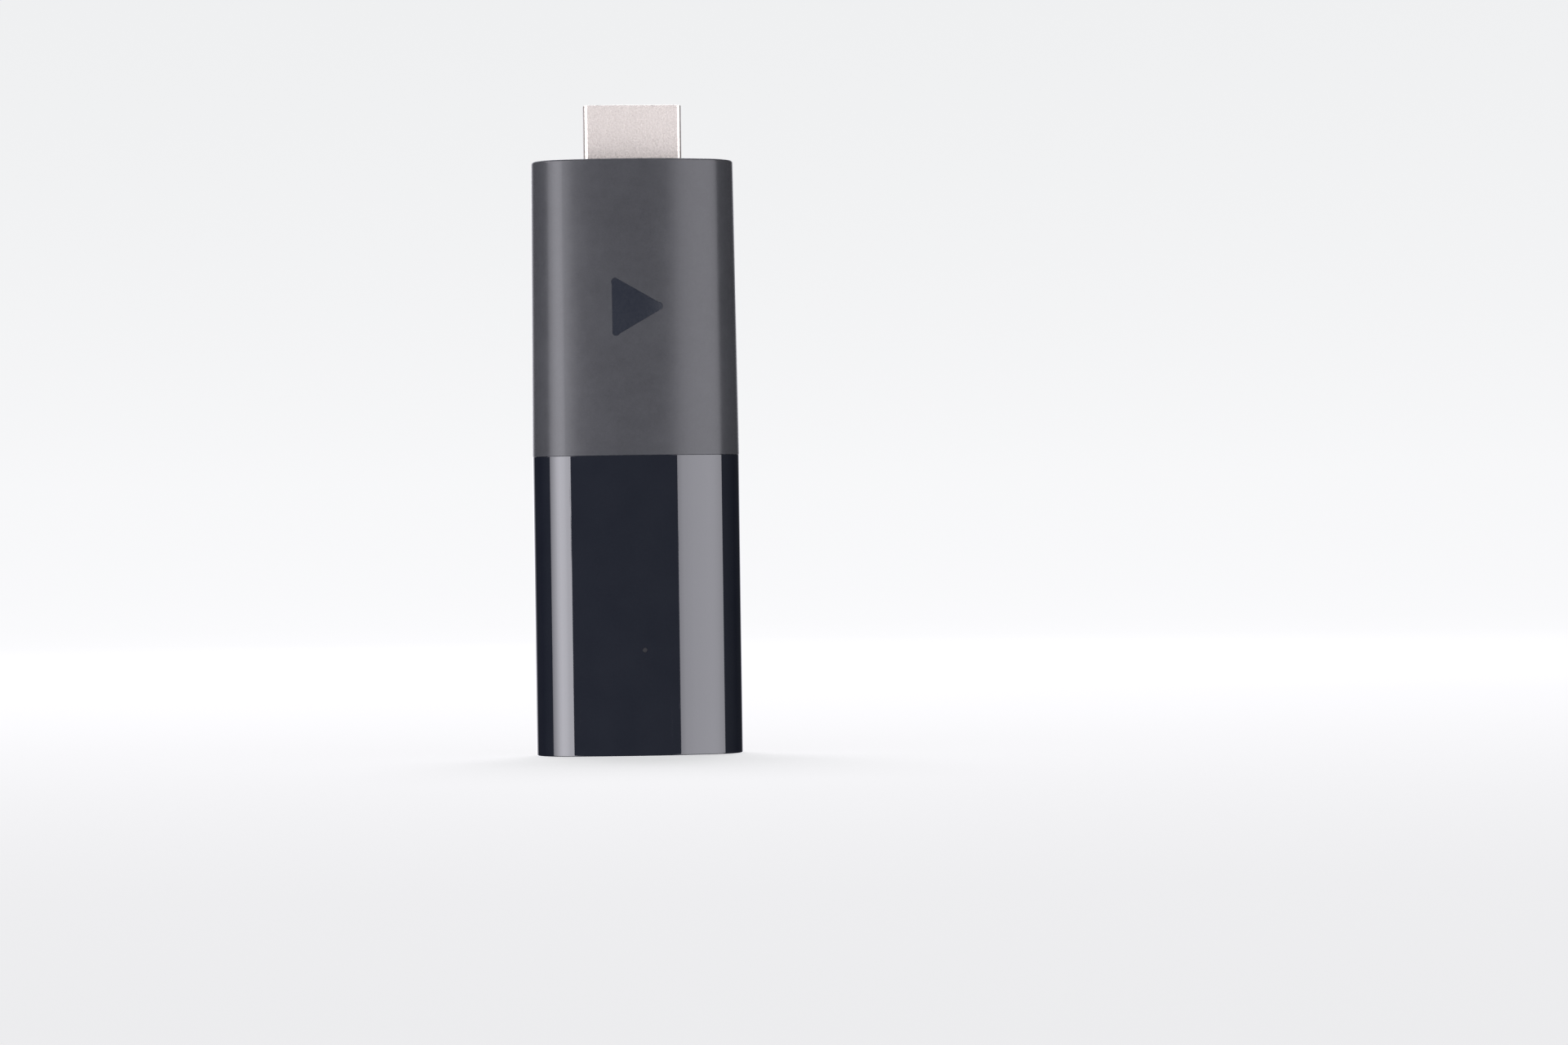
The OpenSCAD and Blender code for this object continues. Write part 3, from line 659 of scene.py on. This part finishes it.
def polish(obj, profile=None):
    """Sets each corner's shading: exact on the casing's skin, and smooth below the crease angle elsewhere."""
    mesh = obj.data
    limit = math.cos(math.radians(CREASE))
    skin, exact = set(), {}
    if profile:
        for v in mesh.vertices:
            out, away = casing_place(v.co)
            gap, lean = along(profile, out, v.co.z / MM)
            if gap < SKIN_GAP:
                exact[v.index] = Vector((away.x * lean.x, away.y * lean.x, lean.y)).normalized()
        for face in mesh.polygons:
            if all(v in exact and exact[v].dot(face.normal) > 0.9 for v in face.vertices):
                skin.add(face.index)
    near = {}
    for face in mesh.polygons:
        if face.index not in skin:
            for v in face.vertices:
                near.setdefault(v, []).append((face.normal.copy(), face.area))
    shading = [None] * len(mesh.loops)
    for face in mesh.polygons:
        for loop, v in zip(face.loop_indices, face.vertices):
            if face.index in skin:
                shading[loop] = exact[v]
            else:
                total = sum((n * area for n, area in near[v] if n.dot(face.normal) > limit), Vector())
                shading[loop] = total.normalized() if total.length > 0 else face.normal.copy()
    mesh.shade_smooth()
    mesh.normals_split_custom_set(shading)


def take(obj):
    """The mesh of a scratch object, whose object is removed."""
    mesh = obj.data
    bpy.data.objects.remove(obj)
    return mesh


# ---- casing pieces, in millimetres ----

# the lower sleeve's collar, its four snap beads and the pockets they click into
COLLAR_INSET = UPPER_WALL + 0.08
COLLAR_T = 0.8
COLLAR_H = 3.0
BEAD_OUT = 0.35
BEAD_X, BEAD_W, BEAD_H = 5.5, 5.0, 1.0
BEAD_Z = LINE_Z + 1.4
POCKET_GAP = 0.1
# the rails that hold the board's edges, and how deep the upper ones root in the wall
RAIL_FACE, RAIL_T, RAIL_X = 0.6, 0.9, 10.9
RAIL_ROOT = 0.3
BOARD_TOP = BODY_LEN - 8
# the hole for the plug: its wall, how far in that reaches, and the gap round the plug
PLUG_WALL = 1.62
PLUG_WALL_H = 2.5
PLUG_GAP = 0.12
PLUG_HOLE_Z = LINE_Z + 20
# how round a hole's rim is
LIP = 0.12
# the mark: its depth behind the skin, its corners' radius, and the gap round it
EMBLEM_DEPTH = 0.45
EMBLEM_R = 0.6
EMBLEM_GAP = 0.02
LIGHT_R = 0.35
# the metal sleeves of the plug and the port
SHEET = 0.3
PLUG_DEPTH = 6.5
PLUG_SLOPE = 1.9
PORT_W, PORT_T, PORT_DEPTH, PORT_SLOPE = 7.5, 2.6, 5.4, 0.7
PORT_GAP = 0.3


def upper_profile():
    """The matte sleeve's skin, from the line to the plug end."""
    top = -UPPER_SLOPE * (BODY_LEN - LINE_Z)
    corners = ((-2 * LINE_ROUND, LINE_Z), (0, LINE_Z), (top, BODY_LEN), (top - 2 * PLUG_END_ROUND, BODY_LEN))
    return smooth_wall(rounded(corners, (0, LINE_ROUND, PLUG_END_ROUND, 0), 8, closed=False))


def lower_profile():
    """The glossy sleeve's skin, from the lower end to the line."""
    corners = ((-2 * LOWER_END_ROUND, 0), (0, 0), (0, LINE_Z), (-2 * LINE_ROUND, LINE_Z))
    return smooth_wall(rounded(corners, (0, LOWER_END_ROUND, LINE_ROUND, 0), 8, closed=False))


def smooth_wall(profile, longest=6.0):
    """Splits a profile's long steps, so that the skin's faces stay compact."""
    found = [profile[0]]
    for (a, na), (b, nb) in zip(profile, profile[1:]):
        a, b = Vector(a), Vector(b)
        parts = max(1, math.ceil((b - a).length / longest))
        for k in range(1, parts + 1):
            found.append((a.lerp(b, k / parts), na.lerp(nb, k / parts).normalized()))
    return found


def rail_boxes(z0, z1):
    """Four rails: one on each face of the board, along both its edges."""
    spans = []
    for side in (-1, 1):
        xs = sorted((side * RAIL_X, side * HALF_W))
        for face in (-1, 1):
            ys = sorted((face * RAIL_FACE, face * (RAIL_FACE + RAIL_T)))
            spans.append(((xs[0], ys[0], z0), (xs[1], ys[1], z1)))
    return boxes("rails", *spans)


def snap_boxes(gap):
    """Two blocks through both faces. Where they cross the collar they are its beads."""
    w, h = BEAD_W / 2 + gap, BEAD_H / 2 + gap
    spans = [((x - w, -HALF_T, BEAD_Z - h), (x + w, HALF_T, BEAD_Z + h)) for x in (-BEAD_X, BEAD_X)]
    return boxes("snaps", *spans)


def flared(outline, z0, z1, lip):
    """A cutter for a hole through an end face at z1, whose rim it rounds."""
    steps = 6
    up = 1 if z1 > z0 else -1
    profile = [((0, z0), None)]
    for k in range(steps + 1):
        a = math.pi / 2 * k / steps
        profile.append(((lip * (1 - math.cos(a)), z1 - up * lip * (1 - math.sin(a))), None))
    profile.append(((lip, z1 + up * PAST), None))
    if up < 0:
        profile.reverse()
    return swept("cutter", outline, profile)


def plug_outline(by=0.0):
    """The plug's section, flat in front with two slopes behind, drawn out by a distance."""
    w, t, slope = plug_box[1].x, plug_box[1].y, PLUG_SLOPE
    corners = ((-w, -t), (w, -t), (w, t - slope), (w - slope, t), (slope - w, t), (-w, t - slope))
    outline = rounded(corners, (0.6, 0.6, 0.45, 0.45, 0.45, 0.45), 8)
    return [(p + by * away, away) for p, away in outline]


def emblem_prism(grow):
    """The play triangle as a block that crosses the front face, grown by a distance."""
    low, high = (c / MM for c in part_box("emblem_inlay"))
    reach, middle = high.x - low.x - 2 * EMBLEM_R, (low.z + high.z) / 2
    rise = reach / math.sqrt(3)
    left = (low.x + high.x) / 2 - reach / 2
    centres = (Vector((left, middle - rise)), Vector((left + reach, middle)), Vector((left, middle + rise)))
    steps = 12
    outline = []
    for k, centre in enumerate(centres):
        for s in range(steps + 1):
            a = math.radians(-150 + 120 * k + 120 * s / steps)
            outline.append(centre + (EMBLEM_R + grow) * Vector((math.cos(a), math.sin(a))))
    return bored("emblem", outline, -2 * HALF_T, -HALF_T + DRAFT + EMBLEM_DEPTH)


def upper_sleeve(look):
    """The matte sleeve: a hollow with rails, snap pockets, the plug's hole, and the mark's recess."""
    profile = upper_profile()
    top_inside = BODY_LEN - WALL
    body = swept("upper", casing_outline(), profile)
    combine(body, "DIFFERENCE", prism(LINE_Z - PAST, top_inside, UPPER_WALL))
    rails = rail_boxes(LINE_Z + COLLAR_H + 1, BOARD_TOP - 4)
    combine(body, "UNION", combine(rails, "INTERSECT", prism(LINE_Z, top_inside, UPPER_WALL - RAIL_ROOT)))
    boss = straight(top_inside - PLUG_WALL_H, top_inside + WALL / 2)
    combine(body, "UNION", swept("boss", plug_outline(PLUG_WALL), boss))
    combine(body, "DIFFERENCE", flared(plug_outline(PLUG_GAP), PLUG_HOLE_Z, BODY_LEN, LIP))
    pocket_floor = prism(LINE_Z, LINE_Z + COLLAR_H, COLLAR_INSET - BEAD_OUT - POCKET_GAP)
    combine(body, "DIFFERENCE", combine(snap_boxes(POCKET_GAP), "INTERSECT", pocket_floor))
    combine(body, "DIFFERENCE", emblem_prism(0))
    polish(body, profile)
    return piece("matte_sleeve", take(body), look, "matte_casing", "upper_shell")


def emblem(look):
    """The mark, whose face is part of the matte sleeve's own skin."""
    profile = upper_profile()
    body = swept("upper", casing_outline(), profile)
    combine(body, "INTERSECT", emblem_prism(-EMBLEM_GAP))
    polish(body, profile)
    return piece("play_inlay", take(body), look, "gloss_inlay", "emblem_inlay")


def lower_sleeve(look):
    """The glossy sleeve: a hollow with rails, the collar with its beads, and the port's and light's holes."""
    profile = lower_profile()
    body = swept("lower", casing_outline(), profile)
    combine(body, "UNION", prism(LINE_Z - WALL, LINE_Z + COLLAR_H, COLLAR_INSET))
    bead_skin = prism(LINE_Z + JOIN, LINE_Z + COLLAR_H, COLLAR_INSET - BEAD_OUT)
    combine(body, "UNION", combine(snap_boxes(0), "INTERSECT", bead_skin))
    cavity = combine(prism(WALL, LINE_Z - 2 * WALL, WALL), "DIFFERENCE", rail_boxes(WALL - PAST, LINE_Z))
    combine(body, "DIFFERENCE", cavity)
    collar_bottom, collar_top = LINE_Z - 2 * WALL - JOIN, LINE_Z + COLLAR_H + PAST
    combine(body, "DIFFERENCE", prism(collar_bottom, collar_top, COLLAR_INSET + COLLAR_T))
    w, t = PORT_W / 2 + PORT_GAP, PORT_T / 2 + PORT_GAP
    hole = rounded(((-w, -t), (w, -t), (w, t), (-w, t)), (1.0,) * 4, 8)
    combine(body, "DIFFERENCE", flared(hole, WALL + PAST, 0, LIP))
    combine(body, "DIFFERENCE", light_hole())
    polish(body, profile)
    return piece("gloss_sleeve", take(body), look, "gloss_casing", "lower_shell")


def light_hole():
    """A cutter for the small round opening in front of the light pipe."""
    low, high = (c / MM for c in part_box("light_pipe"))
    x, z, around = (low.x + high.x) / 2, (low.z + high.z) / 2, 48
    turns = [2 * math.pi * k / around for k in range(around)]
    circle = [(x + LIGHT_R * math.cos(a), z + LIGHT_R * math.sin(a)) for a in turns]
    return bored("light_hole", circle, -2 * HALF_T, 0)


def ring_profile(z0, z1, foot, tip):
    """The section of a sheet-metal sleeve's wall, with rounded edges at its foot and its tip."""
    corners = ((-SHEET, z0), (0, z0), (0, z1), (-SHEET, z1))
    return rounded(corners, (foot, foot, tip, tip), 5)


def plug_shell(look):
    """The plug's rolled metal sleeve: a rounded mouth, a butt seam along the back and four solder legs."""
    back_z, tip_z = BODY_LEN - PLUG_DEPTH, plug_box[1].z
    body = swept("plug", plug_outline(), ring_profile(back_z, tip_z, 0.04, 0.13), ring=True)
    half_t = plug_box[1].y
    half_seam, seam_deep = 0.04, 0.12
    seam = ((-half_seam, half_t - seam_deep, back_z - PAST), (half_seam, half_t + PAST, tip_z + PAST))
    combine(body, "DIFFERENCE", boxes("seam", seam))
    # each leg runs down beside the board, steps out under the sleeve, and laps onto the sleeve's inside
    foot_z, root_z, board_y = BOARD_TOP - 2.2, back_z + 0.6, 0.5
    leg_parts = (
        (board_y, board_y + SHEET, foot_z, back_z - SHEET / 2),
        (board_y, half_t, back_z - SHEET, back_z),
        (half_t - SHEET, half_t, back_z - SHEET / 2, root_z),
    )
    legs = []
    for side in (-1, 1):
        # the front legs' and the back legs' place and width
        for face, x, w in ((-1, 5.8, 1.0), (1, 4.75, 0.5)):
            x0, x1 = side * x - w / 2, side * x + w / 2
            for y0, y1, z0, z1 in leg_parts:
                ys = sorted((face * y0, face * y1))
                legs.append(boxes("leg", ((x0, ys[0], z0), (x1, ys[1], z1))))
    combine(body, "UNION", *legs)
    polish(body)
    return piece("plug_sleeve", take(body), look, "plug_metal", "hdmi_plug_shell")


def port_shell(look):
    """The power port's folded metal sleeve, with its two solder wings."""
    w, t, slope, front = PORT_W / 2, PORT_T / 2, PORT_SLOPE, port_box[0].z
    corners = ((slope - w, -t), (w - slope, -t), (w, slope - t), (w, t), (-w, t), (-w, slope - t))
    walls = ring_profile(front, front + PORT_DEPTH, 0.1, 0.04)
    body = swept("port", rounded(corners, (0.4,) * 6, 6), walls, ring=True)
    wing_x, wing_w, wing_h = w + 0.69, 0.7, 0.8
    wing_y, wing_z = 0.5, front + 0.6 * PORT_DEPTH
    for x in (-wing_x, wing_x):
        low, high = (x - wing_w, wing_y, wing_z - wing_h), (x + wing_w, wing_y + SHEET, wing_z + wing_h)
        combine(body, "UNION", boxes("wing", (low, high)))
    polish(body)
    return piece("port_sleeve", take(body), look, "port_metal", "usb_port_shell")


bpy.context.scene.view_settings.view_transform = "Standard"
camera()
world()
softboxes = [softbox(box_name, glow) for box_name, glow in SOFTBOXES.items()]
softboxes.append(high_lamp("high_left_softbox", *HIGH_LEFT_LAMP))
softboxes.append(high_lamp("high_back_softbox", *HIGH_BACK_LAMP))
high_lamp("top_softbox", *TOP_LAMP)
keep_off(bowl(), softboxes)
looks = {name: make(name, *measures) for name, (make, *measures) in LOOKS.items()}
dress(looks)
upper_sleeve(looks["matte_casing"])
emblem(looks["gloss_inlay"])
lower_sleeve(looks["gloss_casing"])
plug_shell(looks["plug_metal"])
port_shell(looks["port_metal"])
